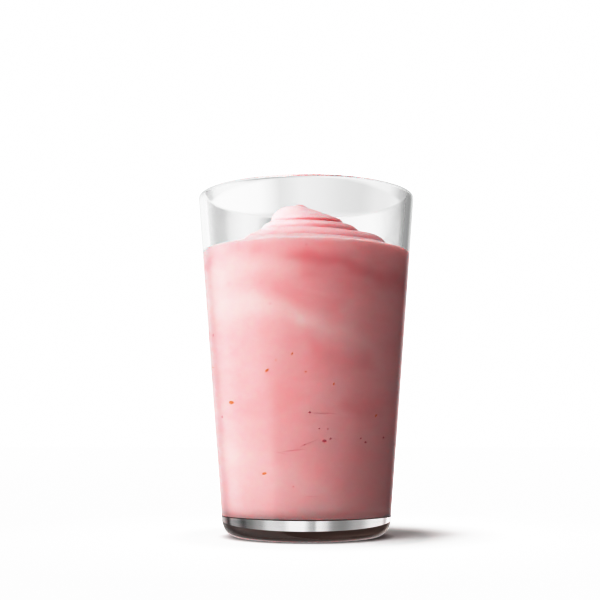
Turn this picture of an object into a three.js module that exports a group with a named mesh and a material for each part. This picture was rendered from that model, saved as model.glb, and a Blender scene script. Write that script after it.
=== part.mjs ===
// A strawberry milkshake in its glass: a clear, thick-footed tapered tumbler, and the thick drink
// that fills it, with the soft folded swirl that stands up where the drink was poured last.
// Millimetres, +Z up. The origin is the middle of the foot, on the table. The front is -Y.

import * as THREE from "three";
import { ParametricGeometry } from "three/addons/geometries/ParametricGeometry.js";

// The tumbler
const GLASS_HEIGHT = 130;
const RIM_RADIUS = 42; // outside, at the lip
const FOOT_RADIUS = 31.4; // outside wall carried straight down to the table
const WALL = 2.9; // thickness of the side, level
const LIP_ROUND = WALL / 2; // the lip is melted to a full round
const HEEL_HEIGHT = 7.6; // where the rounded heel meets the straight side
const STAND_RADIUS = 25.6; // outside of the flat ring it stands on
const HOLLOW_RADIUS = 19.5; // inside of that ring
const HOLLOW_RISE = 1.3; // depth of the hollow under the foot
const FOOT_THICKNESS = 7; // table to the lowest point of the cavity
const BOWL_RADIUS = 100; // curvature of the cavity's floor
const BOWL_EDGE = 22; // radius where the floor starts to turn up
const COVE_TOP = 17; // height where the turn meets the straight inside wall

// The drink
const GAP = 0.3; // kept between the drink and the glass
const LINE_HEIGHT = 108.5; // the drink's edge on the glass
const LINE_DIP = 0.7; // the edge lies this much lower at its lowest
const LINE_DIP_BEARING = 0.95; // where that is, in turns from the right-hand side
const MOUND_RISE = 18.2; // the poured mound above the edge, folds left out
const MOUND_SPREAD = 22.3; // how wide the mound is
const MOUND_POWER = 1.7; // 1 is a pointed mound, 2 a round one
const SHOULDER_RISE = 2; // the last fold holds the right-hand side this much higher
const SHOULDER_BEARING = 0.05; // most of all here, in turns from the right-hand side
const SHOULDER_START = 20; // from this radius out
const SHOULDER_FULL = 27; // and fully from this one
const SHOULDER_POWER = 8; // how close to the glass that side stays high
const TIP_LEAN = -4.2; // the tip stands this far to the left
const LEAN_FOOT = 114; // height where the lean starts

// The folds wind down round the mound. Radius of the crease after each half turn, from the tip out.
const CREASE_RADII = [0, 4.5, 12.3, 14.3, 17, 20.9, 24.7, 31.3];
const FOLD_START = 0.5; // the crease leaves the tip on the left
const FOLD_DEPTH = 1.45; // how far a fold stands out over the crease below it
const FOLD_SKEW = 2; // above 1, a fold is fullest near its lower lip
const FOLD_DROOP = THREE.MathUtils.degToRad(30); // the lip sags this much below square
const FOLD_UNEVEN = 0.15; // folds are deeper on the right by this share
const TIP_TURNS = 0.5; // the folds grow over these turns at the tip
const FADE_TURNS = 0.7; // and fade over these before the glass

// One more pleat lies between two folds on the right.
const PLEAT_DEPTH = 0.6;
const PLEAT_TURN = 1.86; // turns down to its lip
const PLEAT_WIDTH = 0.17; // and how wide it is, in turns

// Facets
const AROUND = 84;
const ROWS_A_TURN = 8;

const { smoothstep, lerp } = THREE.MathUtils;

// Outside radius of the straight side at a height.
const outside = (z) => lerp(FOOT_RADIUS, RIM_RADIUS, z / GLASS_HEIGHT);

// Inside radius of the straight side, less an inset.
const inside = (z, inset = 0) => outside(z) - WALL - inset;

// Height of the cavity's floor at a radius.
const floorHeight = (r, inset = 0) => FOOT_THICKNESS + inset + (r * r) / (2 * BOWL_RADIUS);

// The cavity's outline from the middle of its floor up to a height: a shallow bowl, a cove and the
// straight wall. With an inset it is the outline of what fills the cavity.
function cavityOutline(top, inset = 0) {
  const edge = new THREE.Vector2(BOWL_EDGE, floorHeight(BOWL_EDGE, inset));
  const wallFoot = new THREE.Vector2(inside(COVE_TOP, inset), COVE_TOP);
  const floorSlope = BOWL_EDGE / BOWL_RADIUS;
  const wallLean = (RIM_RADIUS - FOOT_RADIUS) / GLASS_HEIGHT;
  // Where the floor's tangent at its edge meets the wall's line.
  const rise = (edge.y - COVE_TOP + floorSlope * (wallFoot.x - edge.x)) / (1 - floorSlope * wallLean);
  const corner = new THREE.Vector2(wallFoot.x + wallLean * rise, COVE_TOP + rise);
  const bowl = new THREE.QuadraticBezierCurve(
    new THREE.Vector2(0, floorHeight(0, inset)),
    new THREE.Vector2(BOWL_EDGE / 2, floorHeight(0, inset)),
    edge,
  );
  const cove = new THREE.QuadraticBezierCurve(edge, corner, wallFoot);
  return [
    ...bowl.getPoints(4),
    ...cove.getPoints(6).slice(1),
    new THREE.Vector2(inside(top, inset), top),
  ];
}

// The tumbler's outline, from under the foot, up the outside, over the lip and down the cavity.
function tumblerOutline() {
  const hollow = new THREE.EllipseCurve(
    0,
    0,
    HOLLOW_RADIUS,
    HOLLOW_RISE,
    Math.PI / 2,
    0,
    true,
  );
  const heel = new THREE.CubicBezierCurve(
    new THREE.Vector2(STAND_RADIUS, 0),
    new THREE.Vector2(lerp(STAND_RADIUS, FOOT_RADIUS, 0.6), 0),
    new THREE.Vector2(outside(HEEL_HEIGHT * 0.4), HEEL_HEIGHT * 0.4),
    new THREE.Vector2(outside(HEEL_HEIGHT), HEEL_HEIGHT),
  );
  const lipHeight = GLASS_HEIGHT - LIP_ROUND;
  const lip = new THREE.EllipseCurve(
    outside(lipHeight) - LIP_ROUND,
    lipHeight,
    LIP_ROUND,
    LIP_ROUND,
    0,
    Math.PI,
  );
  return [
    ...hollow.getPoints(4),
    ...heel.getPoints(6),
    ...lip.getPoints(8),
    ...cavityOutline(lipHeight).reverse().slice(1),
  ];
}

// The radius of the undisturbed surface after so many turns from the tip, out to the glass.
const creases = new THREE.SplineCurve(
  [...CREASE_RADII, inside(LINE_HEIGHT, GAP)].map((r, i) => new THREE.Vector2(i / 2, r)),
);
const LAST_TURN = CREASE_RADII.length / 2;
const creaseRadius = (turn) => creases.getPoint(turn / LAST_TURN).y;

// 1 at one bearing, falling to 0 a quarter turn either side of it. Bearings are shares of a turn.
const lobe = (bearing, middle) => Math.max(0, Math.cos(2 * Math.PI * (bearing - middle))) ** 2;

// How much lower the drink's edge on the glass is at a bearing.
const lineDip = (bearing) =>
  (LINE_DIP * (1 + Math.cos(2 * Math.PI * (bearing - LINE_DIP_BEARING)))) / 2;

// Height of the unfolded top of the drink at a radius.
function moundHeight(r, bearing) {
  const edge = inside(LINE_HEIGHT, GAP);
  const bell = (radius) => Math.exp(-((radius / MOUND_SPREAD) ** MOUND_POWER));
  const mound = (MOUND_RISE * (bell(r) - bell(edge))) / (1 - bell(edge));
  const shoulder = SHOULDER_RISE * lobe(bearing, SHOULDER_BEARING) * (1 - (r / edge) ** SHOULDER_POWER);
  const spreadOut = smoothstep(r, SHOULDER_START, SHOULDER_FULL);
  return LINE_HEIGHT - lineDip(bearing) * (r / edge) ** 2 + mound + shoulder * spreadOut;
}

// How far the fold at this place stands out. It swells from one crease to its lip just above the
// next one, and the creases wind down round the mound.
function foldHeight(turn, bearing) {
  const phase = THREE.MathUtils.euclideanModulo(turn - bearing + FOLD_START, 1);
  const grown = smoothstep(turn, 0, TIP_TURNS);
  const faded = 1 - smoothstep(turn, LAST_TURN - FADE_TURNS, LAST_TURN);
  const uneven = 1 + FOLD_UNEVEN * Math.cos(2 * Math.PI * bearing);
  const fold = FOLD_DEPTH * grown * faded * uneven * Math.sin(Math.PI * phase ** FOLD_SKEW);
  const pleat = Math.exp(-(((turn - PLEAT_TURN) / PLEAT_WIDTH) ** 2));
  return fold + PLEAT_DEPTH * lobe(bearing, 0) * pleat;
}

// A point on the drink's folded top, as radius and height.
function topPoint(turn, bearing) {
  const r = creaseRadius(turn);
  const z = moundHeight(r, bearing);
  const step = 0.01;
  const slope = (moundHeight(r + step, bearing) - z) / step;
  const facing = Math.PI / 2 + Math.atan(slope) - FOLD_DROOP * smoothstep(r, 0, MOUND_SPREAD / 2);
  const out = foldHeight(turn, bearing);
  return new THREE.Vector2(r + out * Math.cos(facing), z + out * Math.sin(facing));
}

// The drink's outline at one bearing: the cavity's form up to its edge, then its top to the tip.
function drinkOutline(bearing) {
  const top = [];
  for (let row = ROWS_A_TURN * LAST_TURN - 1; row >= 0; row--)
    top.push(topPoint(row / ROWS_A_TURN, bearing));
  return [...cavityOutline(LINE_HEIGHT - lineDip(bearing), GAP), ...top];
}

function glassMesh() {
  const clear = new THREE.MeshStandardMaterial({
    color: 0xf2f6f5,
    roughness: 0.02,
    metalness: 0,
    transparent: true,
    opacity: 0.3,
  });
  const geometry = new THREE.LatheGeometry(tumblerOutline(), AROUND);
  geometry.rotateX(Math.PI / 2);
  const mesh = new THREE.Mesh(geometry, clear);
  mesh.name = "glass";
  return mesh;
}

// How much of the tip's lean there is at a height.
const leanShare = (z) =>
  (Math.max(0, z - LEAN_FOOT) / (LINE_HEIGHT + MOUND_RISE - LEAN_FOOT)) ** 2;

function milkshakeMesh() {
  const pink = new THREE.MeshStandardMaterial({ color: 0xeaa9ab, roughness: 0.35, metalness: 0 });
  const outlines = [];
  for (let i = 0; i < AROUND; i++) outlines.push(drinkOutline(i / AROUND));
  const rows = outlines[0].length - 1;
  const geometry = new ParametricGeometry(
    (u, v, target) => {
      const column = Math.round(u * AROUND) % AROUND;
      const point = outlines[column][Math.round(v * rows)];
      const angle = (2 * Math.PI * column) / AROUND;
      const lean = TIP_LEAN * leanShare(point.y);
      target.set(point.x * Math.cos(angle) + lean, point.x * Math.sin(angle), point.y);
    },
    AROUND,
    rows,
  );
  const mesh = new THREE.Mesh(geometry, pink);
  mesh.name = "milkshake";
  return mesh;
}

const milkshakeInGlass = new THREE.Group();
milkshakeInGlass.add(glassMesh(), milkshakeMesh());

export default milkshakeInGlass;
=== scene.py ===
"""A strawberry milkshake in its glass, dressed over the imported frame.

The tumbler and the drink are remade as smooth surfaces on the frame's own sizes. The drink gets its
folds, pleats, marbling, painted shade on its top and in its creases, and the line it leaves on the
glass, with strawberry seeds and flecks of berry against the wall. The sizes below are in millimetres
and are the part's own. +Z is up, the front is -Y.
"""

import logging
import math
from dataclasses import dataclass
from enum import Enum

import bpy
import numpy as np
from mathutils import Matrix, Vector


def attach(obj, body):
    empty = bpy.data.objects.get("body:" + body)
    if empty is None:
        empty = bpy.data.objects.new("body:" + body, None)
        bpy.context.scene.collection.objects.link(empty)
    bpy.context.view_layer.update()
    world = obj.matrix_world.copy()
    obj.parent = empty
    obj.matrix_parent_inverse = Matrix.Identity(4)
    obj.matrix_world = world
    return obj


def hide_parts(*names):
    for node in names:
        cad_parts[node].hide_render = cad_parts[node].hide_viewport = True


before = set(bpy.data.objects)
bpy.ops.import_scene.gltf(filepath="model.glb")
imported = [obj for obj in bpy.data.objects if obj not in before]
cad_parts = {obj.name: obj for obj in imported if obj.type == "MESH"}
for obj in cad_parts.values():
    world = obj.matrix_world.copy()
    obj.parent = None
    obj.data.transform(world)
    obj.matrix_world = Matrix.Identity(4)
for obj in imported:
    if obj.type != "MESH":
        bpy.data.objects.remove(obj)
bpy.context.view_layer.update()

MM = 0.001
TURN = 2.0 * math.pi
FRONT = 0.75  # bearings are shares of a turn from +X
SMALL = 0.01  # millimetres
WHITE = (1.0, 1.0, 1.0, 1.0)
LOG = logging.getLogger("milkshake")

Limits = tuple[float, float]
Place = tuple[float, float, float]
Levels = tuple[tuple[float, float], ...]
Source = bpy.types.Node | bpy.types.NodeSocket


# Small helpers


def linear(hex_colour: str, alpha: float = 1.0) -> tuple[float, float, float, float]:
    """Turn an sRGB hex colour into linear values.

    Args:
        hex_colour: Six hex digits with a leading hash.
        alpha: Opacity to carry along.

    Returns:
        Linear red, green, blue and the opacity.
    """
    raw = [int(hex_colour[i : i + 2], 16) / 255.0 for i in (1, 3, 5)]
    flat = [c / 12.92 if c <= 0.04045 else ((c + 0.055) / 1.055) ** 2.4 for c in raw]
    return (flat[0], flat[1], flat[2], alpha)


def smoothstep(x: np.ndarray, low: float, high: float) -> np.ndarray:
    """Ease from 0 at low to 1 at high: three t squared less two t cubed.

    Args:
        x: Values to ease.
        low: Where the result leaves 0.
        high: Where the result reaches 1.

    Returns:
        The eased values.
    """
    t = np.clip((x - low) / (high - low), 0.0, 1.0)
    return t * t * (3.0 - 2.0 * t)


def swell(x: np.ndarray, rise: Limits, fall: Limits) -> np.ndarray:
    """Ease from 0 to 1 over the rise and back to 0 over the fall."""
    return smoothstep(x, *rise) * (1 - smoothstep(x, *fall))


def add_node(
    tree: bpy.types.NodeTree,
    kind: str,
    settings: dict | None = None,
    links: dict[int | str, Source] | None = None,
) -> bpy.types.Node:
    """Add one shader node with its settings and links.

    Args:
        tree: The node tree to add to.
        kind: The node's type, without the leading ShaderNode.
        settings: Values by name for the node's own settings, and by number for its inputs.
        links: Where links come from, by the number or name of the input that each goes to: a socket,
            or a node for its first output.

    Returns:
        The new node.
    """
    node = tree.nodes.new("ShaderNode" + kind)
    for key, value in (settings or {}).items():
        if isinstance(key, int):
            node.inputs[key].default_value = value
        else:
            setattr(node, key, value)
    for key, source in (links or {}).items():
        socket = source.outputs[0] if isinstance(source, bpy.types.Node) else source
        tree.links.new(socket, node.inputs[key])
    return node


def new_material(
    name: str,
) -> tuple[bpy.types.Material, bpy.types.NodeTree, bpy.types.Node, bpy.types.Node]:
    """Make a node material with a Principled shader on its output.

    Args:
        name: The real material's name.

    Returns:
        The material, its tree, the Principled node and the output node.
    """
    material = bpy.data.materials.new(name)
    material.use_nodes = True
    tree = material.node_tree
    tree.nodes.clear()
    output = add_node(tree, "OutputMaterial")
    shader = add_node(tree, "BsdfPrincipled")
    tree.links.new(shader.outputs["BSDF"], output.inputs["Surface"])
    return material, tree, shader, output


def let_trapped_out(tree: bpy.types.NodeTree, surface: Source, clear: Source, most_turns: float) -> Source:
    """Let light through a surface once it has been thrown to and fro in the glass too often.

    Args:
        tree: The node tree to add to.
        surface: The surface's own shader.
        clear: The shader that lets the light through.
        most_turns: How often it may be thrown before that.

    Returns:
        The shader of both.
    """
    path = add_node(tree, "LightPath")
    many = {"operation": "GREATER_THAN", 1: most_turns}
    trapped = add_node(tree, "Math", many, {0: path.outputs["Glossy Depth"]})
    return add_node(tree, "MixShader", links={0: trapped, 1: surface, 2: clear})


def make_object(
    name: str,
    points_mm: np.ndarray,
    faces: list[np.ndarray],
    smooth: bool = True,
    painted: dict[str, np.ndarray] | None = None,
) -> bpy.types.Object:
    """Put a surface into a mesh object that sits at the origin.

    Args:
        name: The piece's name.
        points_mm: Points, one a row, in millimetres.
        faces: Arrays of corner numbers, one face a row; each array has faces of one size.
        smooth: Whether the faces are shaded smooth.
        painted: Named values, one a point, for the materials to read.

    Returns:
        The linked object.
    """
    mesh = bpy.data.meshes.new(name)
    loops = np.concatenate([block.ravel() for block in faces]).astype(np.int32)
    sizes = np.concatenate([np.full(len(block), block.shape[1]) for block in faces])
    starts = np.concatenate([[0], np.cumsum(sizes)[:-1]]).astype(np.int32)
    mesh.vertices.add(len(points_mm))
    mesh.vertices.foreach_set("co", (points_mm * MM).astype(np.float32).ravel())
    mesh.loops.add(len(loops))
    mesh.loops.foreach_set("vertex_index", loops)
    mesh.polygons.add(len(sizes))
    mesh.polygons.foreach_set("loop_start", starts)
    mesh.polygons.foreach_set("use_smooth", np.full(len(sizes), smooth))
    mesh.update(calc_edges=True)
    for label, values in (painted or {}).items():
        mesh.attributes.new(label, "FLOAT", "POINT").data.foreach_set("value", values.astype(np.float32))
    mesh.validate()
    item = bpy.data.objects.new(name, mesh)
    bpy.context.scene.collection.objects.link(item)
    return item


def closed_rings(rings: np.ndarray) -> tuple[np.ndarray, list[np.ndarray]]:
    """Skin a stack of rings whose first and last ring are each one point.

    The rings run up the outside of the form, so that with bearings turning from +X to +Y the faces
    point outwards. Each band is quads between two rings and each end is a fan of triangles.

    Args:
        rings: Points as rows by columns by 3. Every point of the first row is the same, and of the last.

    Returns:
        Points, one a row, and the faces.
    """
    rows, columns = rings.shape[:2]
    points = np.vstack([rings[0, :1], rings[1:-1].reshape(-1, 3), rings[-1, :1]])
    column = np.arange(columns)
    following = (column + 1) % columns
    row = np.arange(rows - 3)[:, None] * columns + 1
    quads = np.stack([row + column, row + following, row + columns + following, row + columns + column], -1)
    top = len(points) - 1
    last = 1 + (rows - 3) * columns
    first_fan = np.stack([np.zeros_like(column), 1 + following, 1 + column], -1)
    last_fan = np.stack([np.full_like(column, top), last + column, last + following], -1)
    return points, [quads.reshape(-1, 4), first_fan, last_fan]


def ring_values(values: np.ndarray) -> np.ndarray:
    """Lay out one value a ring point in the order in which closed_rings lays out the points."""
    return np.concatenate([values[0, :1], values[1:-1].ravel(), values[-1, :1]])


def revolve(radius: np.ndarray, height: np.ndarray, columns: int) -> tuple[np.ndarray, list[np.ndarray]]:
    """Turn an outline round the Z axis.

    Args:
        radius: Radii along the outline, 0 at both ends.
        height: Heights along the outline.
        columns: Points round the axis.

    Returns:
        Points and faces, as closed_rings gives them.
    """
    angle = np.arange(columns) * TURN / columns
    rings = np.stack(
        [
            radius[:, None] * np.cos(angle),
            radius[:, None] * np.sin(angle),
            np.broadcast_to(height[:, None], (len(height), columns)),
        ],
        -1,
    )
    return closed_rings(rings)


def bezier(points: list[tuple[float, float]], steps: int) -> np.ndarray:
    """Points along a quadratic or cubic Bezier curve, ends included.

    Args:
        points: Three or four control points as radius and height.
        steps: Spans along the curve.

    Returns:
        Rows of radius and height.
    """
    t = np.linspace(0.0, 1.0, steps + 1)[:, None]
    control = np.array(points, dtype=float)
    order = len(control) - 1
    weights = [math.comb(order, i) * t**i * (1 - t) ** (order - i) for i in range(order + 1)]
    return sum(weight * point for weight, point in zip(weights, control))


# Finishes


@dataclass(frozen=True)
class BerryBit:
    """A berry's husk or scraps, wet all over: two close colours in spots, and a soft shine."""

    name: str
    dark: str
    light: str
    spot_mm: float
    spot_edge: Limits = (0.35, 0.65)
    roughness: float = 0.45
    ior: float = 1.4

    def material(self) -> bpy.types.Material:
        """Make the material: a noise of spots spot_mm wide picks between the two colours.

        Returns:
            The material.
        """
        material, tree, shader, _ = new_material(self.name)
        place = add_node(tree, "TexCoord")
        spots = add_node(tree, "TexNoise", {2: 1.0 / (self.spot_mm * MM)}, {0: place.outputs["Object"]})
        colour = add_node(tree, "ValToRGB", links={0: spots})
        stops = colour.color_ramp.elements
        for stop, position, tone in zip(stops, self.spot_edge, (self.dark, self.light)):
            stop.position, stop.color = position, linear(tone)
        tree.links.new(colour.outputs["Color"], shader.inputs["Base Color"])
        shader.inputs["Roughness"].default_value = self.roughness
        shader.inputs["IOR"].default_value = self.ior
        return material


class BerryFinish(Enum):
    """What the bits in the drink are: pale orange husk, pink flesh, and fibre that hardly shows."""

    HUSK = BerryBit("strawberry_seed_husk", "#E0965E", "#EDB07E", 0.7)
    FLESH = BerryBit("strawberry_flesh", "#D48894", "#DE9CA6", 0.9)
    FIBRE = BerryBit("strawberry_fibre", "#E9B4BB", "#EEC0C5", 0.9)


@dataclass(frozen=True)
class ClearGlass:
    """Soda-lime glass, blown and fire-polished: no grain, sharp reflections, next to no colour."""

    tint: str = "#FEFEFE"
    shadow: str = "#F6F7F7"
    ior: float = 1.5
    most_turns: float = 2.5

    def material(self) -> bpy.types.Material:
        """Make the material: refraction to the eye, and clear to the lamps so that they reach the drink.

        Returns:
            The material.
        """
        material, tree, shader, output = new_material("soda_lime_glass")
        shader.inputs["Base Color"].default_value = linear(self.tint)
        shader.inputs["Roughness"].default_value = 0.0
        shader.inputs["IOR"].default_value = self.ior
        shader.inputs["Transmission Weight"].default_value = 1.0
        clear = add_node(tree, "BsdfTransparent", {0: linear(self.shadow)})
        seen = let_trapped_out(tree, shader, clear, self.most_turns)
        path = add_node(tree, "LightPath")
        mix = add_node(tree, "MixShader", links={0: path.outputs["Is Shadow Ray"], 1: seen, 2: clear})
        tree.links.new(mix.outputs["Shader"], output.inputs["Surface"])
        return material


@dataclass(frozen=True)
class StrawberryShake:
    """Milk, ice cream and strawberries blended: satin where it meets the air, and light soaks into it,
    red furthest. Cream and berry that are not quite stirred in make it paler and redder in streaks.
    """

    # The berry end also gives the top its painted shade, in the creases most.
    berry: str = "#E8ACB3"
    base: str = "#F7D8DA"
    cream: str = "#FBE9E9"
    roughness: float = 0.38
    ior: float = 1.36
    shine: float = 0.5
    soak_mm: Place = (8.0, 2.3, 2.1)
    wisp_mm: float = 26.0
    wisp_flatness: float = 2.4  # how much wider than tall the wisps are
    wisp_detail: float = 5.0
    wisp_roughness: float = 0.5
    wisp_curl: float = 1.2
    wisp_strength: float = 0.35
    glass_to_milk: float = 0.9
    under: str = "#70605A"
    under_roughness: float = 0.02
    most_turns: float = 1.5

    def marbled(self, tree: bpy.types.NodeTree) -> Source:
        """Colour of the drink: a ramp from berry to cream along the painted marbling and, on the top,
        painted shade.

        It is stirred a little by a noise whose largest wisps are as long as wisp_mm.

        Args:
            tree: The node tree to add to.

        Returns:
            The colour.
        """
        place = add_node(tree, "TexCoord")
        flat = add_node(tree, "Mapping", {3: (1.0, 1.0, self.wisp_flatness)}, {0: place.outputs["Object"]})
        grain = {
            2: 1.0 / (self.wisp_mm * MM),
            3: self.wisp_detail,
            4: self.wisp_roughness,
            8: self.wisp_curl,
        }
        wisps = add_node(tree, "TexNoise", grain, {0: flat})
        gently = {"operation": "MULTIPLY_ADD", 1: self.wisp_strength, 2: (1.0 - self.wisp_strength) / 2}
        centred = add_node(tree, "Math", gently, {0: wisps})
        # The painted values: marbling on the side, and painted shade on the top.
        painted = add_node(tree, "Attribute", {"attribute_name": "marbling"})
        halved = {"operation": "MULTIPLY_ADD", 1: 0.5}
        stirred = add_node(tree, "Math", halved, {0: painted.outputs["Fac"], 2: centred})
        colour = add_node(tree, "ValToRGB", links={0: stirred})
        stops = colour.color_ramp.elements
        stops[0].color = linear(self.berry)
        stops[1].color = linear(self.cream)
        stops.new(0.5).color = linear(self.base)
        return colour

    def material(self) -> bpy.types.Material:
        """Make the material.

        The drink shines only where it is bare. Where it wets the foot the light comes to it from
        inside the glass, and past the critical angle most of it is thrown back.

        Returns:
            The material.
        """
        material, tree, shader, output = new_material("strawberry_milkshake")
        tree.links.new(self.marbled(tree).outputs["Color"], shader.inputs["Base Color"])
        shader.inputs["Roughness"].default_value = self.roughness
        shader.inputs["IOR"].default_value = self.ior
        shader.inputs["Subsurface Weight"].default_value = 1.0
        shader.inputs["Subsurface Radius"].default_value = tuple(v * MM for v in self.soak_mm)
        shader.inputs["Subsurface Scale"].default_value = 1.0
        in_air = add_node(tree, "Attribute", {"attribute_name": "bare"})
        shine = add_node(tree, "Math", {"operation": "MULTIPLY", 1: self.shine}, {0: in_air.outputs["Fac"]})
        tree.links.new(shine.outputs["Value"], shader.inputs["Specular IOR Level"])
        edge_on = add_node(tree, "Fresnel", {0: self.glass_to_milk})
        on_glass = add_node(tree, "Attribute", {"attribute_name": "wetted"})
        share = add_node(tree, "Math", {"operation": "MULTIPLY"}, {0: edge_on, 1: on_glass.outputs["Fac"]})
        thrown_back = add_node(tree, "BsdfAnisotropic", {0: linear(self.under), 1: self.under_roughness})
        drink = add_node(tree, "MixShader", links={0: share, 1: shader, 2: thrown_back})
        seen = let_trapped_out(tree, drink, add_node(tree, "BsdfTransparent", {0: WHITE}), self.most_turns)
        tree.links.new(seen.outputs["Shader"], output.inputs["Surface"])
        return material


# The tumbler


@dataclass
class Tumbler:
    """A clear tapered tumbler with a thick foot, sized as the part's own, in millimetres."""

    height: float = 130.0
    rim_radius: float = 42.0
    foot_radius: float = 31.4
    wall: float = 2.9
    lip_corner: float = 1.0
    heel_height: float = 6.8
    heel_run: float = 0.6  # share of its way out that the heel runs level
    heel_bend: float = 0.4  # share of its height at which it bends into the side
    stand_radius: float = 25.6
    hollow_radius: float = 19.5
    hollow_rise: float = 1.3
    foot_thickness: float = 7.6
    bowl_radius: float = 420.0
    bowl_edge: float = 25.0
    cove_top: float = 13.0
    # Ripples under the foot, with the lengths of their waves along the radius.
    ripple: float = 0.08
    ripple_length: float = 15.0
    ripple_twist: float = 27.3
    ripple_wander: float = 1.7
    ripple_lobes: int = 3
    ripple_fade: float = 5.0
    # Points and spans of the mesh.
    columns: int = 288
    hollow_spans: int = 16
    heel_spans: int = 20
    side_rows: int = 22
    lip_spans: int = 12
    bowl_spans: int = 16
    wall_spans: int = 32

    @property
    def lean(self) -> float:
        """How far the side leans out for each millimetre up."""
        return (self.rim_radius - self.foot_radius) / self.height

    def outside(self, z: float | np.ndarray) -> float | np.ndarray:
        """Outside radius of the straight side: a straight line from foot to rim."""
        return self.foot_radius + self.lean * z

    def inside(self, z: float | np.ndarray) -> float | np.ndarray:
        """Inside radius of the straight side."""
        return self.outside(z) - self.wall

    def cavity(self, top: float, grow: float, bowl_spans: int, wall_spans: int) -> np.ndarray:
        """Outline of the cavity from the middle of its floor up to a height.

        The floor is a shallow parabola, its edge turns up in a cove that is a quadratic curve between
        the floor's tangent and the wall's, and the wall is straight.

        Args:
            top: Height to stop at.
            grow: How far outside the cavity's own surface the outline lies.
            bowl_spans: Spans of the floor and of the cove.
            wall_spans: Spans of the wall.

        Returns:
            Rows of radius and height.
        """
        floor_z = self.foot_thickness - grow
        edge = (self.bowl_edge, floor_z + self.bowl_edge**2 / (2 * self.bowl_radius))
        wall_foot = (self.inside(self.cove_top) + grow, self.cove_top)
        slope = self.bowl_edge / self.bowl_radius
        rise = (edge[1] - self.cove_top + slope * (wall_foot[0] - edge[0])) / (1 - slope * self.lean)
        corner = (wall_foot[0] + self.lean * rise, self.cove_top + rise)
        bowl = bezier([(0.0, floor_z), (self.bowl_edge / 2, floor_z), edge], bowl_spans)
        cove = bezier([edge, corner, wall_foot], bowl_spans)[1:]
        wall_z = np.linspace(self.cove_top, top, wall_spans + 1)[1:]
        wall = np.stack([self.inside(wall_z) + grow, wall_z], -1)
        return np.vstack([bowl, cove, wall])

    def outline(self) -> np.ndarray:
        """Outline of the glass from under its middle, up the outside, over the lip and down inside.

        The hollow under it is a quarter of an ellipse, the heel a cubic curve, and the lip has a
        quarter of a circle on either side.

        Returns:
            Rows of radius and height.
        """
        quarter = np.linspace(0.0, math.pi / 2, self.hollow_spans + 1)
        hollow = np.stack([self.hollow_radius * np.sin(quarter), self.hollow_rise * np.cos(quarter)], -1)
        bend = self.heel_height * self.heel_bend
        heel = bezier(
            [
                (self.stand_radius, 0.0),
                (self.stand_radius + self.heel_run * (self.foot_radius - self.stand_radius), 0.0),
                (self.outside(bend), bend),
                (self.outside(self.heel_height), self.heel_height),
            ],
            self.heel_spans,
        )
        lip_z = self.height - self.lip_corner
        side_z = np.linspace(self.heel_height, lip_z, self.side_rows + 2)[1:-1]
        side = np.stack([self.outside(side_z), side_z], -1)
        corner = np.linspace(0.0, math.pi / 2, self.lip_spans + 1)
        across = self.lip_corner * np.cos(corner)
        up = lip_z + self.lip_corner * np.sin(corner)
        outer = np.stack([self.outside(lip_z) - self.lip_corner + across, up], -1)
        inner = np.stack([self.inside(lip_z) + self.lip_corner - across, up], -1)[::-1]
        down = self.cavity(lip_z, 0.0, self.bowl_spans, self.wall_spans)[::-1][1:]
        return np.vstack([hollow, heel, side, outer, inner, down])

    def rippled(self, points: np.ndarray) -> np.ndarray:
        """Give the hollow under the foot the soft ripples that a mould leaves in thick glass.

        Points are lifted by a product of two sines of their bearing and radius, which dies out in the
        middle and at the ring that the glass stands on.

        Args:
            points: The glass's points.

        Returns:
            The points, with those under the foot lifted.
        """
        x, y, z = points.T
        radius, angle = np.hypot(x, y), np.arctan2(y, x)
        under = (z < self.hollow_rise + SMALL) & (radius < self.hollow_radius)
        wander = self.ripple_wander * np.sin(2 * angle)
        wave = np.sin(TURN * radius / self.ripple_length + wander)
        wave = wave * np.sin(self.ripple_lobes * angle + TURN * radius / self.ripple_twist)
        within = (self.hollow_radius - self.ripple_fade, self.hollow_radius)
        lift = self.ripple * wave * swell(radius, (0.0, self.ripple_fade), within)
        lifted = points.copy()
        lifted[:, 2] = np.where(under, z + lift, z)
        return lifted

    def build(self) -> bpy.types.Object:
        """Make the glass, dress it and put it on the frame.

        Returns:
            The glass piece.
        """
        line = self.outline()
        points, faces = revolve(line[:, 0], line[:, 1], self.columns)
        piece = make_object("tumbler", self.rippled(points), faces)
        piece.data.materials.append(ClearGlass().material())
        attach(piece, "root")
        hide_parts("glass")
        LOG.info("tumbler: %d faces", len(piece.data.polygons))
        return piece


# The drink


@dataclass(frozen=True)
class Streak:
    """One streak of the marbling on the side of the drink.

    Places are degrees to the right of the front and heights in millimetres. The width is half the
    streak's and the strength is above 0 for cream and below 0 for berry, each at the start and the end.
    """

    start: tuple[float, float]
    end: tuple[float, float]
    width: tuple[float, float]
    strength: tuple[float, float]
    bow: float = 0.0
    fade_in: Limits = (-0.1, 0.1)
    fade_out: Limits = (0.85, 1.15)

    def weight(self, degrees: np.ndarray, height: np.ndarray) -> np.ndarray:
        """How strong the streak is at each place.

        Across the streak the weight is a bell of the height off its centre line, which is a straight
        line bowed by a parabola. Along it the weight eases in and out.

        Args:
            degrees: Places round the drink.
            height: Heights.

        Returns:
            Weights, with the streak's sign.
        """
        middle = (self.start[0] + self.end[0]) / 2
        along = (degrees - middle + 180.0) % 360.0 - 180.0 + middle
        u = (along - self.start[0]) / (self.end[0] - self.start[0])
        t = np.clip(u, 0.0, 1.0)
        line = self.start[1] + (self.end[1] - self.start[1]) * t + 4 * self.bow * t * (1 - t)
        wide = self.width[0] + (self.width[1] - self.width[0]) * t
        strong = self.strength[0] + (self.strength[1] - self.strength[0]) * t
        return strong * swell(u, self.fade_in, self.fade_out) * np.exp(-(((height - line) / wide) ** 2))


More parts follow.
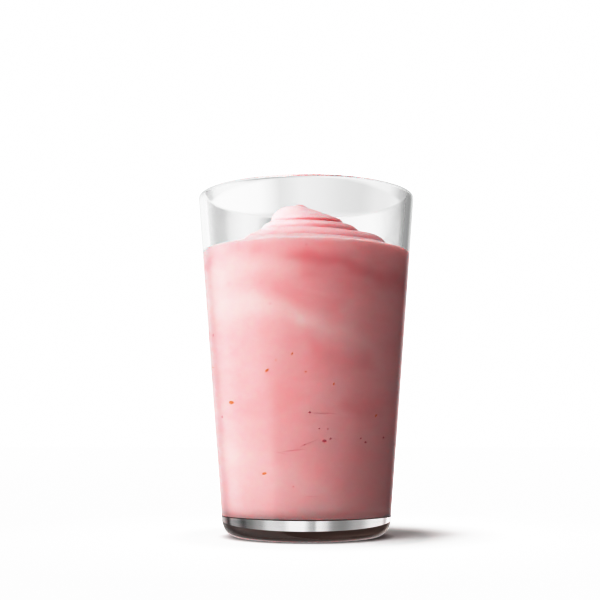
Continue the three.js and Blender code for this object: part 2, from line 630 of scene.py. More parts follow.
@dataclass(frozen=True)
class Wave:
    """A slanting wave on the side of the drink: a whole number of them goes round it."""

    around: int
    pitch: float  # millimetres up for each radian of the wave, below 0 where it slants the other way
    share: float = 1.0

    def at(self, degrees: np.ndarray, height: np.ndarray) -> np.ndarray:
        """The wave at each place: a sine of the bearing and the height."""
        return self.share * np.sin(self.around * np.radians(degrees) + height / self.pitch)


@dataclass(frozen=True)
class Marbling:
    """Cream and berry drawn out round the drink when it was poured, not quite stirred in."""

    streaks: tuple[Streak, ...] = (
        # The front: a berry streak under the edge, an arc of cream below it and berry under that.
        Streak((-10, 101.8), (104, 92.0), (2.1, 4.4), (-0.66, -0.3), -1.0),
        Streak((-6, 96.0), (40, 88.0), (3.5, 4.5), (-0.28, -0.22)),
        Streak((-16, 88.5), (24, 84.5), (5.5, 4.5), (-0.12, -0.25), -1.0),
        Streak((-110, 87.0), (-2, 80.5), (8.5, 4.2), (0.55, 0.7), 2.5),
        Streak((-8, 80.0), (48, 67.5), (3.2, 2.2), (0.7, 0.3), 1.0),
        Streak((-68, 98.0), (-7, 98.8), (5.0, 3.0), (0.45, 0.45), -0.6),
        Streak((-70, 104.0), (-25, 104.0), (2.0, 2.0), (-0.1, -0.15)),
        Streak((-2, 70.0), (40, 63.0), (4.5, 3.5), (-0.26, -0.16), -2.0),
        Streak((22, 50.0), (58, 45.0), (3.0, 3.5), (-0.2, -0.1)),
        Streak((-75, 32.0), (8, 22.0), (9.0, 8.0), (0.28, 0.3)),
        Streak((-60, 11.0), (70, 10.0), (6.0, 6.0), (0.3, 0.3)),
        # The back.
        Streak((95, 88.0), (200, 97.0), (3.0, 5.0), (-0.6, -0.5), -6.0),
        Streak((110, 99.0), (170, 84.0), (2.0, 4.5), (0.6, 0.4), 2.0),
        Streak((150, 74.0), (262, 83.0), (6.0, 5.0), (0.7, 0.5), -5.0),
        Streak((205, 92.0), (290, 101.0), (3.5, 2.0), (-0.5, -0.6), 2.0),
        Streak((125, 62.0), (215, 55.0), (3.5, 4.5), (-0.4, -0.3), 4.0),
        Streak((70, 58.0), (150, 42.0), (2.0, 4.0), (0.5, 0.3), 3.0),
        Streak((190, 40.0), (300, 33.0), (3.0, 6.0), (-0.3, 0.3), -3.0),
    )
    sway_mm: float = 0.9
    up_and_down: tuple[Wave, ...] = (Wave(7, 11.0), Wave(17, -5.0, 0.5))
    sway_degrees: float = 3.0
    to_and_fro: tuple[Wave, ...] = (Wave(3, 4.1), Wave(5, 1.9, 0.5))

    def side(self, degrees: np.ndarray, height: np.ndarray) -> np.ndarray:
        """Marbling on the side of the drink.

        The places are first swayed by two waves each, so that no streak has a ruled edge. Then the
        streaks' weights are added.

        Args:
            degrees: Places round the drink.
            height: Heights.

        Returns:
            Values from -1, berry, to 1, cream.
        """
        raised = self.sway_mm * sum(wave.at(degrees, height) for wave in self.up_and_down)
        moved = self.sway_degrees * sum(wave.at(degrees, height) for wave in self.to_and_fro)
        total = sum(streak.weight(degrees + moved, height + raised) for streak in self.streaks)
        return np.clip(total, -1.0, 1.0)


@dataclass
class Milkshake:
    """The thick drink, from the cavity's floor to the folded swirl, in millimetres.

    Its form is the part's own. To that it adds how the front folds sag, how the left ones lie flatter,
    the crimps on the right and the way the edge creeps up the glass.
    """

    tumbler: Tumbler
    marbling: Marbling = Marbling()
    # The line on the glass, and the unfolded mound.
    into_wall: float = 0.15
    gap: float = 0.3
    line_height: float = 108.5
    line_dip: float = 0.7
    line_dip_bearing: float = 0.95
    line_clearance: float = 0.2
    mound_rise: float = 18.2
    mound_spread: float = 22.3
    mound_power: float = 1.7
    shoulder_rise: float = 2.0
    shoulder_bearing: float = 0.05
    shoulder_start: float = 20.0
    shoulder_full: float = 27.0
    shoulder_power: float = 8.0
    tip_lean: float = -4.2
    lean_foot: float = 114.0
    # The folds, with places along them in turns from the tip.
    crease_radii: tuple[float, ...] = (0, 4.5, 12.3, 14.3, 17, 20.9, 24.7, 31.3)
    fold_start: float = 0.5
    fold_depth: float = 1.45
    fold_skew: float = 2.0
    fold_droop: float = math.radians(30.0)
    fold_uneven: float = 0.15
    tip_turns: float = 0.5
    fade_turns: float = 0.7
    pleat_depth: float = 0.6
    pleat_turn: float = 1.86
    pleat_width: float = 0.17
    left_flat: float = 0.65
    left_flat_from: Limits = (0.9, 1.25)
    crimps: float = 5.0
    crimp_depth: float = 0.13
    crimp_bearing: float = 0.93
    crimp_rise: Limits = (0.5, 0.9)
    crimp_fall: Limits = (2.1, 2.8)
    slump: float = 1.5
    slump_rise: Limits = (0.5, 1.2)
    slump_fall: Limits = (2.3, 3.2)
    # The edge on the glass.
    let_out_width: float = 6.0
    creep: float = 0.8
    creep_reach: float = 0.5
    creep_fade: Limits = (1.0, 7.0)
    # Painted shade on the top and in its creases, and how much the drink's floor throws light back.
    crease_shade_share: float = 0.08
    crease_shade_from: Limits = (0.2, 0.8)
    # Painted shade in the top's creases, and more in the deep crease on the right, its shaded side.
    crease_shade: float = 0.16
    deep_crease_shade: float = 0.45
    deep_shade_bearing: float = 0.97
    # Below 0 the whole top is painted a little darker, a painted shade against the light from above.
    top_shade_offset: float = -0.12
    blend_turns: float = 0.35
    wetted: float = 0.9
    # Points and spans of the mesh.
    columns: int = 288
    floor_rows: int = 12
    wall_rows: int = 116
    top_rows: int = 192

    @property
    def last_turn(self) -> float:
        """Turns of fold from the tip to the glass."""
        return len(self.crease_radii) / 2

    @property
    def edge_radius(self) -> float:
        """Radius of the drink's edge in the part, a gap inside the glass."""
        return float(self.tumbler.inside(self.line_height)) - self.gap

    def crease_radius(self, turn: np.ndarray) -> np.ndarray:
        """Radius of the unfolded surface after so many turns.

        The radii at each half turn are joined by uniform Catmull-Rom spans: on each span the cubic
        through its ends whose end slopes are half the difference of the neighbours.

        Args:
            turn: Turns from the tip.

        Returns:
            Radii.
        """
        knots = np.array([*self.crease_radii, self.edge_radius])
        spans = len(knots) - 1
        place = np.clip(turn / self.last_turn, 0, 1) * spans
        i = np.minimum(place.astype(int), spans - 1)
        t = place - i
        before, start = knots[np.maximum(i - 1, 0)], knots[i]
        end, after = knots[i + 1], knots[np.minimum(i + 2, spans)]
        m0, m1 = (end - before) / 2, (after - start) / 2
        return (
            (2 * start - 2 * end + m0 + m1) * t**3
            + (-3 * start + 3 * end - 2 * m0 - m1) * t**2
            + m0 * t
            + start
        )

    def lobe(self, bearing: np.ndarray, middle: float) -> np.ndarray:
        """One at a bearing and nothing a quarter turn either side: the cosine, squared."""
        return np.maximum(0.0, np.cos(TURN * (bearing - middle))) ** 2

    def dip(self, bearing: np.ndarray) -> np.ndarray:
        """How much lower the drink's edge is at a bearing: half of one plus a cosine."""
        return self.line_dip * (1 + np.cos(TURN * (bearing - self.line_dip_bearing))) / 2

    def mound(self, r: np.ndarray, bearing: np.ndarray) -> np.ndarray:
        """Height of the unfolded top: a bell of the radius, with a shoulder on the right.

        Args:
            r: Radii.
            bearing: Bearings in turns.

        Returns:
            Heights.
        """
        share = r / self.edge_radius
        bell = np.exp(-((r / self.mound_spread) ** self.mound_power))
        foot = math.exp(-((self.edge_radius / self.mound_spread) ** self.mound_power))
        rise = self.mound_rise * (bell - foot) / (1 - foot)
        shoulder = self.shoulder_rise * self.lobe(bearing, self.shoulder_bearing)
        shoulder = shoulder * (1 - share**self.shoulder_power)
        spread = smoothstep(r, self.shoulder_start, self.shoulder_full)
        return self.line_height - self.dip(bearing) * share**2 + rise + shoulder * spread

    def fold(self, turn: np.ndarray, bearing: np.ndarray) -> np.ndarray:
        """How far the folds, the pleat and the crimps stand out.

        Between two creases the height is the sine of half a turn times the phase squared, so a fold
        is fullest near its lower lip. It grows over the first turns, is less on the left and fades
        before the glass. The pleat is a bell of the turns, and the crimps are a sine of the phase.

        Args:
            turn: Turns from the tip.
            bearing: Bearings in turns.

        Returns:
            Distances out from the unfolded surface.
        """
        phase = (turn - bearing + self.fold_start) % 1.0
        fading = (self.last_turn - self.fade_turns, self.last_turn)
        uneven = 1 + self.fold_uneven * np.cos(TURN * bearing)
        flat = self.left_flat * self.lobe(bearing, 0.5) * smoothstep(turn, *self.left_flat_from)
        full = swell(turn, (0.0, self.tip_turns), fading) * uneven * (1 - flat)
        fold = self.fold_depth * full * np.sin(math.pi * phase**self.fold_skew)
        pleat = np.exp(-(((turn - self.pleat_turn) / self.pleat_width) ** 2)) * self.lobe(bearing, 0.0)
        crimped = self.lobe(bearing, self.crimp_bearing) * swell(turn, self.crimp_rise, self.crimp_fall)
        crimp = np.sin(TURN * self.crimps * phase) * crimped
        return fold + self.pleat_depth * pleat + self.crimp_depth * crimp

    def top(self, turn: np.ndarray, bearing: np.ndarray) -> tuple[np.ndarray, np.ndarray]:
        """Radius and height of the folded top.

        The unfolded surface sags outwards in front. Then it is moved out along its normal, turned down
        by the droop, as far as the folds stand out.

        Args:
            turn: Turns from the tip.
            bearing: Bearings in turns.

        Returns:
            Radii and heights.
        """
        sagging = self.lobe(bearing, FRONT) * swell(turn, self.slump_rise, self.slump_fall)
        r = self.crease_radius(turn) + self.slump * sagging
        z = self.mound(r, bearing)
        slope = (self.mound(r + SMALL, bearing) - z) / SMALL
        droop = self.fold_droop * smoothstep(r, 0, self.mound_spread / 2)
        facing = math.pi / 2 + np.arctan(slope) - droop
        out = self.fold(turn, bearing)
        return r + out * np.cos(facing), z + out * np.sin(facing)

    def creeping(self, r: np.ndarray, z: np.ndarray) -> tuple[np.ndarray, np.ndarray]:
        """Let the top out to the glass and give it an edge that creeps up the glass in a thin lip.

        The part's drink stops a gap short of the glass, so here its outermost rings are moved out. Just
        inside the edge the top lies lower by one less an exponential of the distance from the glass,
        and that dies out farther in.

        Args:
            r: Radii of the top.
            z: Heights of the top.

        Returns:
            Radii and heights.
        """
        outermost = smoothstep(r, self.edge_radius - self.let_out_width, self.edge_radius)
        r = r + (self.gap + self.into_wall) * outermost
        inset = np.maximum(0.0, self.edge_radius + self.gap - r)
        hollow = 1.0 - np.exp(-inset / self.creep_reach)
        return r, z - self.creep * hollow * (1 - smoothstep(inset, *self.creep_fade))

    def top_painted_shade(self, turn: np.ndarray, bearing: np.ndarray) -> np.ndarray:
        """Painted shade on the folded top: a little darker all over, and darker still in the creases.

        The crease shade is a bell of the phase round each crease, strongest on the right, the shaded side.

        Args:
            turn: Turns from the tip.
            bearing: Bearings in turns.

        Returns:
            Values from -1, berry, to 1, cream; here below 0, as painted shade.
        """
        phase = (turn - bearing + self.fold_start + 0.5) % 1.0 - 0.5
        crease = np.exp(-((phase / self.crease_shade_share) ** 2)) * smoothstep(turn, *self.crease_shade_from)
        on_right = self.lobe(bearing, self.deep_shade_bearing)
        # Painted shade: the top a little darker all over, the creases darker still and most on the right.
        return self.top_shade_offset - crease * (self.crease_shade + self.deep_crease_shade * on_right)

    def outlines(self, turn: np.ndarray, bearing: np.ndarray) -> tuple[np.ndarray, np.ndarray]:
        """Every ring of the drink: up the cavity to the line on the glass, then over the top to the tip.

        Args:
            turn: Turns of the top's rings, one a row.
            bearing: Bearings, one a column.

        Returns:
            Radii and heights, as rows by columns.
        """
        low = self.tumbler.cavity(
            self.line_height - self.line_dip - self.line_clearance,
            self.into_wall,
            self.floor_rows,
            self.wall_rows,
        )
        shape = (len(low), self.columns)
        line_z = self.line_height - self.dip(bearing)
        line_r = self.tumbler.inside(line_z) + self.into_wall
        top_r, top_z = self.creeping(*self.top(turn, bearing))
        r = np.vstack([np.broadcast_to(low[:, :1], shape), line_r, top_r])
        z = np.vstack([np.broadcast_to(low[:, 1:], shape), line_z, top_z])
        r[-1] = 0.0
        z[-1] = z[-1].mean()
        return r, z

    def leaning(self, r: np.ndarray, z: np.ndarray, bearing: np.ndarray) -> np.ndarray:
        """Points of the rings, with the tip moved to the left by the square of the height.

        Args:
            r: Radii.
            z: Heights.
            bearing: Bearings, one a column.

        Returns:
            Points as rows by columns by 3.
        """
        reach = self.line_height + self.mound_rise - self.lean_foot
        lean = self.tip_lean * (np.maximum(0, z - self.lean_foot) / reach) ** 2
        angle = TURN * bearing
        return np.stack([r * np.cos(angle) + lean, r * np.sin(angle), z], -1)

    def painted(self, z: np.ndarray, turn: np.ndarray, bearing: np.ndarray) -> dict[str, np.ndarray]:
        """Values that the drink's material reads.

        Args:
            z: Heights of all rings.
            turn: Turns of the top's rings.
            bearing: Bearings, one a column.

        Returns:
            The marbling with painted shade on the top, how much a ring throws light back into the foot, and
            whether it is bare.
        """
        degrees = ((bearing - FRONT + 0.5) % 1.0 - 0.5) * 360.0
        marbling = self.marbling.side(degrees, z)
        on_glass = len(z) - len(turn)
        inward = smoothstep(turn, self.last_turn, self.last_turn - self.blend_turns)
        above = self.top_painted_shade(turn, bearing)
        # On the top the marbling gives way to the top's painted shade.
        marbling[on_glass:] = marbling[on_glass:] * (1 - inward) + above * inward
        row = np.arange(len(z))[:, None]
        across = np.ones_like(z)
        return {
            "marbling": marbling,
            "wetted": (row <= self.floor_rows) * across * self.wetted,
            "bare": (row >= on_glass) * across,
        }

    def build(self) -> bpy.types.Object:
        """Make the drink, dress it and put it on the frame.

        Returns:
            The drink's piece.
        """
        bearing = np.arange(self.columns)[None, :] / self.columns
        turn = np.linspace(self.last_turn, 0, self.top_rows + 1)[1:, None]
        r, z = self.outlines(turn, bearing)
        points, faces = closed_rings(self.leaning(r, z, bearing))
        values = self.painted(z, turn, bearing)
        painted = {label: ring_values(value) for label, value in values.items()}
        piece = make_object("milkshake_drink", points, faces, painted=painted)
        piece.data.materials.append(StrawberryShake().material())
        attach(piece, "root")
        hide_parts("milkshake")
        LOG.info("milkshake: %d faces", len(piece.data.polygons))
        return piece


# What is sunk in the drink, against the glass


@dataclass(frozen=True)
class Bit:
    """One seed or shred that shows through the glass.

    Its place is degrees to the right of the front and a height in millimetres. Its tilt is degrees up
    from level, to the right.
    """

    degrees: float
    height: float
    length: float
    tilt: float = 0.0


@dataclass
class SunkenBits:
    """A kind of small thing that floats against the glass, flat side out, in millimetres."""

    name: str
    tumbler: Tumbler
    finish: BerryFinish
    in_view: tuple[Bit, ...]
    round_the_back: int
    lengths: Limits
    slimness: float
    taper: float
    draw: int
    flatness: float = 0.45
    bluntness: float = 0.7
    proud: float = 0.3
    around: int = 10
    along: int = 9
    hidden_from: float = 66.0
    lowest: float = 18.0
    highest: float = 100.0
    most_tilt: float = 50.0

    def scattered(self) -> list[Bit]:
        """Bits for the sides and the back, drawn at random with a fixed seed.

        Returns:
            The bits.
        """
        draw = np.random.default_rng(self.draw)
        count = self.round_the_back
        degrees = draw.uniform(self.hidden_from, 360.0 - self.hidden_from, count)
        heights = draw.uniform(self.lowest, self.highest, count)
        lengths = draw.uniform(*self.lengths, count)
        tilts = draw.uniform(-self.most_tilt, self.most_tilt, count)
        return [Bit(*(float(v) for v in row)) for row in zip(degrees, heights, lengths, tilts)]

    def surface(self, bit: Bit) -> tuple[np.ndarray, list[np.ndarray]]:
        """One bit, bent to the wall.

        Along its length, from u = 0 to 1, the half width is the sine of half a turn of u, to the power
        of the bluntness, less a taper. Each ring is an ellipse across the bit, laid out on the unrolled
        wall.

        Args:
            bit: Its place and size.

        Returns:
            Points and faces.
        """
        u = np.linspace(0.0, 1.0, self.along)[:, None]
        around = TURN * np.arange(self.around)[None, :] / self.around
        half = bit.length * self.slimness / 2 * np.sin(math.pi * u) ** self.bluntness * (1 - self.taper * u)
        tilt = math.radians(bit.tilt)
        along = (u - 0.5) * bit.length
        across = half * np.cos(around)
        right = along * math.cos(tilt) - across * math.sin(tilt)
        z = bit.height + along * math.sin(tilt) + across * math.cos(tilt)
        depth = half * self.flatness
        radius = self.tumbler.inside(z) + self.proud + depth * (np.sin(around) - 1.0)
        angle = TURN * (FRONT + bit.degrees / 360.0) + right / self.tumbler.inside(bit.height)
        return closed_rings(np.stack([radius * np.cos(angle), radius * np.sin(angle), z], -1))

    def build(self) -> bpy.types.Object:
        """Make all bits as one piece, dress it and put it on the frame.

        Returns:
            The piece.
        """
        points, blocks, count = [], [], 0
        for bit in [*self.in_view, *self.scattered()]:
            some_points, some_faces = self.surface(bit)
            points.append(some_points)
            blocks.extend(block + count for block in some_faces)
            count += len(some_points)
        piece = make_object(self.name, np.vstack(points), blocks)
        piece.data.materials.append(self.finish.value.material())
        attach(piece, "root")
        LOG.info("%s: %d faces", self.name, len(piece.data.polygons))
        return piece


def strawberry_seeds(tumbler: Tumbler) -> SunkenBits:
    """The strawberries' own seeds, teardrops mostly one or two millimetres long."""
    return SunkenBits(
        name="strawberry_seeds",
        tumbler=tumbler,
        finish=BerryFinish.HUSK,
        in_view=(
            Bit(-8.5, 66.6, 1.1, 60),
            Bit(-18.3, 64.4, 0.6, 10),
            Bit(-24.2, 60.9, 1.7, 32),
            Bit(-0.6, 60.2, 0.8, 15),
            Bit(16.3, 56.0, 1.1, 70),
            Bit(-53.4, 49.8, 3.0, -4),
            Bit(48.4, 45.0, 1.5, 40),
            Bit(-28.4, 24.4, 1.9, 12),
        ),
        round_the_back=14,
        lengths=(0.9, 1.8),
        slimness=0.5,
        taper=0.35,
        draw=11,
    )


def berry_shreds(tumbler: Tumbler) -> SunkenBits:
    """Specks of strawberry skin and flesh that the blender left."""
    return SunkenBits(
        name="berry_shreds",
        tumbler=tumbler,
        finish=BerryFinish.FLESH,
        in_view=(
            Bit(11.0, 35.9, 1.6, 0),
            Bit(14.9, 36.7, 0.9, 30),
            Bit(1.8, 45.9, 1.0, 0),
            Bit(36.2, 36.8, 0.8, 20),
            Bit(40.2, 35.4, 1.1, 0),
            Bit(57.7, 37.1, 1.1, 0),
            Bit(7.7, 40.2, 0.6, 0),
            Bit(13.1, 40.1, 0.6, 60),
            Bit(-1.4, 34.6, 0.6, 35),
            Bit(-8.8, 19.9, 0.5, 0),
            Bit(-49.0, 93.2, 0.55, 40),
            Bit(-20.9, 84.5, 0.5, 30),
            Bit(-0.3, 105.2, 0.5, 20),
        ),
        round_the_back=26,
        lengths=(0.5, 1.6),
        slimness=0.72,
        taper=0.1,
        draw=5,
    )


def berry_fibres(tumbler: Tumbler) -> SunkenBits:
    """Hairs of strawberry, drawn out level as the drink was poured."""
    return SunkenBits(
        name="berry_fibres",
        tumbler=tumbler,
        finish=BerryFinish.FIBRE,
        in_view=(
            Bit(1.5, 35.2, 7.5, 22),
            Bit(-8.0, 32.6, 9.0, 6),
            Bit(10.5, 45.6, 9.0, -1),
            Bit(3.5, 16.4, 5.5, 0),
            Bit(-16.0, 31.6, 6.0, -12),
            Bit(18.5, 36.4, 3.5, -25),
        ),
        round_the_back=10,
        lengths=(4.0, 9.0),
        slimness=0.022,
        taper=0.3,
        draw=8,
        proud=0.19,
        around=6,
        along=25,
    )


# The studio


@dataclass(frozen=True)
class SoftLamp:
    """One rectangular soft lamp: its middle, the point it faces, and its width and height, in metres."""

    name: str
    place: Place
    aim: Place
    size: tuple[float, float]
    radiance: float
    mirrored: bool

    def hang(self) -> None:
        """Put the lamp up, where only surfaces in its light, and mirrors if it says so, see it.

        Its power is the brightness of its face times its area times pi.
        """
        data = bpy.data.lights.new(self.name, "AREA")
        data.shape = "RECTANGLE"
        data.size, data.size_y = self.size
        data.energy = self.radiance * self.size[0] * self.size[1] * math.pi
        item = bpy.data.objects.new(self.name, data)
        item.location = self.place
        item.rotation_euler = (Vector(self.aim) - Vector(self.place)).to_track_quat("-Z", "Y").to_euler()
        item.visible_camera = False
        item.visible_transmission = False
        item.visible_glossy = self.mirrored
        bpy.context.scene.collection.objects.link(item)


@dataclass(frozen=True)
class Room:
    """A white room. Its walls are of uneven brightness where the glass bends or mirrors them.

    Each ramp has pairs of degrees to the right of straight behind the object, and the brightness there.
    Heights are the sine of the climb above the horizon.
    """

    white: float = 1.8
    overhead: float = 0.95
    overhead_from: Limits = (0.35, 0.7)
    upper_from: Limits = (0.19, 0.197)
    lower_walls: Levels = (
        (-180, 0.9), (-100, 0.9), (-84, 0.9), (-76, 0.6), (-64, 0.66), (-56, 0.1), (-48, 0.7),
        (-36, 0.92), (-24, 0.6), (-15, 0.44), (-11, 0.5), (-8, 0.78), (-6, 0.92), (-4.5, 0.95),
        (-3.2, 0.62), (-1.5, 0.66), (1.5, 1.0), (7, 1.0), (10, 0.8), (17, 0.74), (22, 0.5), (30, 0.3),
        (34, 0.16), (42, 0.4), (49, 0.45), (55, 0.08), (62, 0.4), (68, 0.6), (78, 0.9), (180, 0.9),
    )
    upper_walls: Levels = (
        (-180, 0.9), (-110, 0.9), (-70, 1.0), (-16, 1.0), (-11, 0.86), (-6, 1.05), (-3, 1.05),
        (-1.7, 0.84), (0, 0.95), (4, 0.83), (6, 0.92), (9.5, 1.0), (14, 0.58), (22, 0.74), (40, 0.68),
        (66, 0.85), (180, 0.9),
    )
    mirrored_within: Levels = (
        (-180, 0.7), (-90, 1.0), (-20, 1.0), (-12, 0.85), (20, 0.8), (28, 0.62), (60, 0.6), (180, 0.7),
    )
    mirrored_outside: Levels = (
        (-180, 0.06), (-50, 0.2), (-28, 0.9), (20, 0.9), (40, 0.1), (180, 0.06),
    )
    # The light that the drink and the floor get from all round.
    fill: str = "#A87474"
    fill_overhead: str = "#BEBDBC"
    fill_overhead_from: Limits = (0.2, 0.6)
    # The tall lamp on the left that the outside of the glass mirrors, in the same degrees.
    window_radiance: float = 1.3
    window_near: float = -138.0
    window_far: Limits = (-76.0, -32.0)
    window_softness: Limits = (8.0, 34.0)
    window_softens: Limits = (-0.16, 0.02)

    def ramps(self, tree: bpy.types.NodeTree, degrees: Source) -> list[Source]:
        """Brightness round the room: lower walls, upper walls, mirrored within, mirrored outside.

        Args:
            tree: The room's node tree.
            degrees: Degrees to the right of straight behind the object.

        Returns:
            The four colours.
        """
        share = add_node(tree, "MapRange", {1: -180.0, 2: 180.0}, {0: degrees})
        colours = []
        for levels in (self.lower_walls, self.upper_walls, self.mirrored_within, self.mirrored_outside):
            ramp = add_node(tree, "ValToRGB", links={0: share})
            ramp.color_ramp.interpolation = "EASE"
            stops = ramp.color_ramp.elements
            stops.remove(stops[-1])
            for i, (angle, level) in enumerate(levels):
                place = 0.5 + angle / 360.0
                stop = stops[0] if i == 0 else stops.new(place)
                stop.position = place
                stop.color = (level, level, level, 1)
            colours.append(ramp)
        return colours

    def walls(
        self, tree: bpy.types.NodeTree, degrees: Source, height: Source, path: bpy.types.Node
    ) -> Source:
        """What light meets at the walls and overhead, by how it came there.

        Straight or bent by glass it meets the walls, and mirrored by glass the ramps for that. From the
        drink or the floor it meets the soft fill, which is warmer low down.

        Args:
            tree: The room's node tree.
            degrees: Degrees to the right of straight behind the object.
            height: Sine of the climb.
            path: The Light Path node.

        Returns:
            The colour.
        """
        lower, upper, within, outside = self.ramps(tree, degrees)
        climbs = {1: self.upper_from[0], 2: self.upper_from[1]}
        climb = add_node(tree, "MapRange", climbs, {0: height})
        sides = add_node(tree, "MixRGB", links={0: climb, 1: lower, 2: upper})
        above = (self.overhead, self.overhead, self.overhead, 1)
        rises = {1: self.overhead_from[0], 2: self.overhead_from[1]}
        rise = add_node(tree, "MapRange", rises, {0: height})
        open_room = add_node(tree, "MixRGB", {2: above}, {0: rise, 1: sides})
        both = {0: path.outputs["Glossy Depth"], 1: path.outputs["Transmission Depth"]}
        inner = add_node(tree, "Math", {"operation": "MULTIPLY", "use_clamp": True}, both)
        once = add_node(tree, "MixRGB", links={0: inner, 1: open_room, 2: within})
        seen = add_node(tree, "MixRGB", links={0: off_outside(tree, path), 1: once, 2: outside})
        lifts = {1: self.fill_overhead_from[0], 2: self.fill_overhead_from[1]}
        lift = add_node(tree, "MapRange", lifts, {0: height})
        fill = add_node(tree, "MixRGB", {1: linear(self.fill), 2: linear(self.fill_overhead)}, {0: lift})
        return add_node(tree, "MixRGB", links={0: scattered(tree, path), 1: seen, 2: fill})

    def window(
        self, tree: bpy.types.NodeTree, degrees: Source, height: Source, path: bpy.types.Node
    ) -> Source:
        """Brightness of the tall lamp, whose near edge is sharp low down and soft higher up.

        Args:
            tree: The room's node tree.
            degrees: Degrees to the right of straight behind the object.
            height: Sine of the climb.
            path: The Light Path node.

        Returns:
            The brightness, 0 but for what is mirrored.
        """
        low, high = self.window_softens
        sharp, blurred = self.window_softness
        soft = add_node(tree, "MapRange", {1: low, 2: high, 3: sharp, 4: blurred}, {0: height})
        start = add_node(tree, "Math", {"operation": "SUBTRACT", 0: self.window_near}, {1: soft})
        stop = add_node(tree, "Math", {"operation": "ADD", 0: self.window_near}, {1: soft})
        eased = {"interpolation_type": "SMOOTHSTEP"}
        near = add_node(tree, "MapRange", eased, {0: degrees, 1: start, 2: stop})
        fall = {1: self.window_far[0], 2: self.window_far[1], 3: self.window_radiance, 4: 0.0}
        far = add_node(tree, "MapRange", {**eased, **fall}, {0: degrees})
        glossy = path.outputs["Is Glossy Ray"]
        mirrored = add_node(tree, "Math", {"operation": "MULTIPLY"}, {0: far, 1: glossy})
        return add_node(tree, "Math", {"operation": "MULTIPLY"}, {0: near, 1: mirrored})

    def build(self) -> None:
        """Make the room: plain white to the eye, the walls and the tall lamp to everything else."""
        world = bpy.data.worlds.new("room")
        bpy.context.scene.world = world
        world.use_nodes = True
        tree = world.node_tree
        tree.nodes.clear()
        output = add_node(tree, "OutputWorld")
        path = add_node(tree, "LightPath")
        way = add_node(tree, "TexCoord")
        parts = add_node(tree, "SeparateXYZ", links={0: way.outputs["Generated"]})
        height = parts.outputs["Z"]
        across = {0: parts.outputs["X"], 1: parts.outputs["Y"]}
        turned = add_node(tree, "Math", {"operation": "ARCTAN2"}, across)
        degrees = add_node(tree, "Math", {"operation": "DEGREES"}, {0: turned})
        walls = add_node(tree, "Background", links={0: self.walls(tree, degrees, height, path)})
        lamp = add_node(tree, "Background", {0: WHITE}, {1: self.window(tree, degrees, height, path)})
        lit = add_node(tree, "AddShader", links={0: walls, 1: lamp})
        white = add_node(tree, "Background", {0: WHITE, 1: self.white})
        room = add_node(tree, "MixShader", links={0: path.outputs["Is Camera Ray"], 1: lit, 2: white})
        tree.links.new(room.outputs["Shader"], output.inputs["Surface"])


def scattered(tree: bpy.types.NodeTree, path: bpy.types.Node) -> Source:
    """One for light that the drink or the floor has scattered, else 0."""
    some = {"operation": "GREATER_THAN", 1: 0.5}
    return add_node(tree, "Math", some, {0: path.outputs["Diffuse Depth"]})


def off_outside(tree: bpy.types.NodeTree, path: bpy.types.Node) -> Source:
    """One for light that comes straight off the outside of the glass, else 0."""
    none = {"operation": "LESS_THAN", 1: 0.5}
    not_in_glass = add_node(tree, "Math", none, {0: path.outputs["Transmission Depth"]})
    mirrored = path.outputs["Is Glossy Ray"]
    return add_node(tree, "Math", {"operation": "MULTIPLY"}, {0: not_in_glass, 1: mirrored})


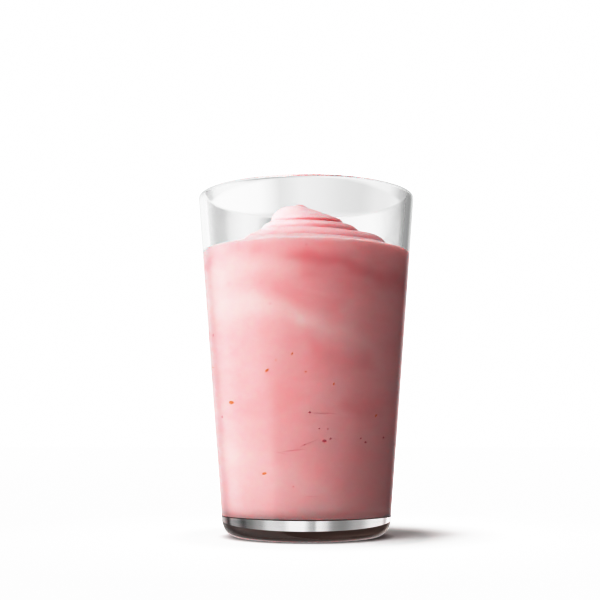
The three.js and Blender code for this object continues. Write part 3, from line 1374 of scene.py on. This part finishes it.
@dataclass(frozen=True)
class Floor:
    """A matt pale floor just under the glass, with distances from the object's middle in millimetres."""

    half: float = 3000.0
    drop: float = 0.05
    pale: str = "#F8FFFF"
    # A painted contact shadow: the distances over which it darkens the floor, and how dark it gets.
    contact_shadow: Limits = (26.2, 33.5)
    contact_shadow_level: float = 0.3
    glow_from: Limits = (45.0, 140.0)
    glow: float = 1.9
    thrown_up: str = "#E5D7D7"
    # Painted shade: the floor's colour under the glass, where the foot shows it.
    under: str = "#1E1815"
    under_roughness: float = 0.8
    beside_from: Limits = (30.0, 44.0)
    beside: str = "#F3F3F3"

    def to_the_eye(self, tree: bpy.types.NodeTree, away: Source) -> Source:
        """The floor as it is seen: a painted contact shadow, darkest where the glass touches it, and white
        farther out.

        It glows more with distance, so that it runs out into the background.

        Args:
            tree: The floor's node tree.
            away: Distance from the middle.

        Returns:
            The shader.
        """
        # Painted contact shadow: the floor darkens towards where the glass touches it.
        shade = {1: self.contact_shadow[0] * MM, 2: self.contact_shadow[1] * MM, 3: self.contact_shadow_level}
        contact_shadow = add_node(tree, "MapRange", shade, {0: away})
        shaded = {"blend_type": "MULTIPLY", 0: 1.0, 1: linear(self.pale)}
        pale = add_node(tree, "BsdfDiffuse", links={0: add_node(tree, "MixRGB", shaded, {2: contact_shadow})})
        growing = {1: self.glow_from[0] * MM, 2: self.glow_from[1] * MM, 4: self.glow}
        grow = add_node(tree, "MapRange", growing, {0: away})
        glow = add_node(tree, "Emission", {0: WHITE}, {1: grow})
        return add_node(tree, "AddShader", links={0: pale, 1: glow})

    def material(self) -> bpy.types.Material:
        """Make the material.

        The floor throws soft light back at the drink. Seen through the thick foot it is painted dark under
        the glass, a painted shade for the gap there, and glows pale beside it. Where the outside of the
        glass would mirror it, the room shows in its place.

        Returns:
            The material.
        """
        material, tree, shader, output = new_material("pale_floor")
        # Painted shade: dark under the glass, as the foot shows the floor, in place of the shade in the
        # gap.
        shader.inputs["Base Color"].default_value = linear(self.under)
        shader.inputs["Roughness"].default_value = self.under_roughness
        path = add_node(tree, "LightPath")
        place = add_node(tree, "TexCoord")
        length = add_node(tree, "VectorMath", {"operation": "LENGTH"}, {0: place.outputs["Object"]})
        away = length.outputs["Value"]
        clearing = {1: self.beside_from[0] * MM, 2: self.beside_from[1] * MM}
        farther = add_node(tree, "MapRange", clearing, {0: away})
        beside = add_node(tree, "Emission", {0: linear(self.beside)})
        glimpsed = add_node(tree, "MixShader", links={0: farther, 1: shader, 2: beside})
        clear = add_node(tree, "BsdfTransparent", {0: WHITE})
        through = add_node(tree, "MixShader", links={0: off_outside(tree, path), 1: glimpsed, 2: clear})
        thrown_up = add_node(tree, "BsdfDiffuse", {0: linear(self.thrown_up)})
        unseen = add_node(tree, "MixShader", links={0: scattered(tree, path), 1: through, 2: thrown_up})
        seen = self.to_the_eye(tree, away)
        floor = add_node(tree, "MixShader", links={0: path.outputs["Is Camera Ray"], 1: unseen, 2: seen})
        tree.links.new(floor.outputs["Shader"], output.inputs["Surface"])
        return material

    def build(self) -> None:
        """Lay the floor: one square, a hair under the glass."""
        ends = np.array([[-1, -1], [1, -1], [1, 1], [-1, 1]]) * self.half
        corners = np.column_stack([ends, np.full(4, -self.drop)])
        plane = make_object("floor", corners, [np.array([[0, 1, 2, 3]])], smooth=False)
        plane.data.materials.append(self.material())


@dataclass(frozen=True)
class Studio:
    """A pale floor, a white room, large soft lamps on the left and the photograph's camera.

    The camera's place and the nearest it sees are in millimetres, its pitch in degrees up and its lens
    in millimetres of focal length on full frame.
    """

    eye_distance: float = 430.0
    eye_height: float = 38.0
    eye_side: float = -2.4
    pitch: float = 6.87
    lens: float = 67.1
    sensor: float = 36.0
    nearest: float = 10.0
    lamps: tuple[SoftLamp, ...] = (
        SoftLamp("lamp_left", (-0.70, -0.13, 0.25), (0.0, 0.0, 0.06), (1.0, 1.1), 2.75, mirrored=False),
        SoftLamp("lamp_key", (-0.50, -0.62, 0.80), (0.0, 0.0, 0.08), (0.55, 0.45), 6.3, mirrored=True),
    )
    # How the lamps' light comes out in the picture: shades deepen, whites are held.
    tone: Levels = (
        (0.0, 0.0), (0.05, 0.006), (0.136, 0.03), (0.25, 0.085), (0.376, 0.185), (0.5, 0.32),
        (0.65, 0.53), (0.8, 0.755), (1.0, 0.93), (1.25, 0.985), (1.6, 1.0),
    )

    def camera(self) -> None:
        """Set the camera where the photograph's was: low, in front, tipped up a little."""
        data = bpy.data.cameras.new("camera")
        data.lens = self.lens
        data.sensor_width = self.sensor
        data.clip_start = self.nearest * MM
        item = bpy.data.objects.new("camera", data)
        item.location = (self.eye_side * MM, -self.eye_distance * MM, self.eye_height * MM)
        item.rotation_euler = (math.radians(90.0 + self.pitch), 0.0, 0.0)
        bpy.context.scene.collection.objects.link(item)
        bpy.context.scene.camera = item

    def develop(self) -> None:
        """Set how light becomes a picture: the standard transform, after the tone curve."""
        settings = bpy.context.scene.view_settings
        settings.view_transform = "Standard"
        settings.use_curve_mapping = True
        mapping = settings.curve_mapping
        most = self.tone[-1][0]
        mapping.white_level = (most, most, most)
        points = mapping.curves[3].points
        points[0].location = (0.0, 0.0)
        points[-1].location = (1.0, 1.0)
        for light, shown in self.tone[1:-1]:
            points.new(light / most, shown)
        mapping.update()

    def build(self) -> None:
        """Set up everything around the part."""
        self.camera()
        Room().build()
        Floor().build()
        for lamp in self.lamps:
            lamp.hang()
        self.develop()


def main() -> None:
    """Build the studio and the pieces."""
    logging.basicConfig(level=logging.INFO, format="%(name)s %(message)s")
    Studio().build()
    tumbler = Tumbler()
    tumbler.build()
    Milkshake(tumbler).build()
    for bits in (strawberry_seeds(tumbler), berry_shreds(tumbler), berry_fibres(tumbler)):
        bits.build()
    bpy.context.view_layer.update()


if __name__ == "__main__":
    main()
